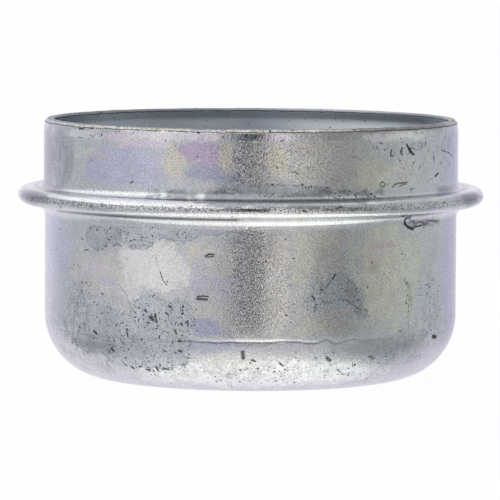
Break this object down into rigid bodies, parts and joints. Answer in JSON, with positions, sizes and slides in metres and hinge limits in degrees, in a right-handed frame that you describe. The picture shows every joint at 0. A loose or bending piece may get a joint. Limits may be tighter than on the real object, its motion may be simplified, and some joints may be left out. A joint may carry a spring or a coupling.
{
  "type": "hub grease cap",
  "caption": "Drive-in hub grease cap: a deep-drawn steel cup with a straight press-in spigot, a folded stop bead, and a closed end with a rounded corner.",
  "frame": {"origin": "centre of the closed end's flat outer face, which the cap stands on", "axes": "+Z along the cap's axis, from the closed end to the open rim; the cap is round, so X and Y are free"},
  "size_m": [0.0564, 0.0564, 0.0313],
  "materials": {
    "zinc_plated_steel": "bright zinc plate with a faint rainbow tint, dull patches, pits and scuffs"
  },
  "bodies": {
    "root": {"grease_cap": "zinc_plated_steel"}
  },
  "joints": []
}
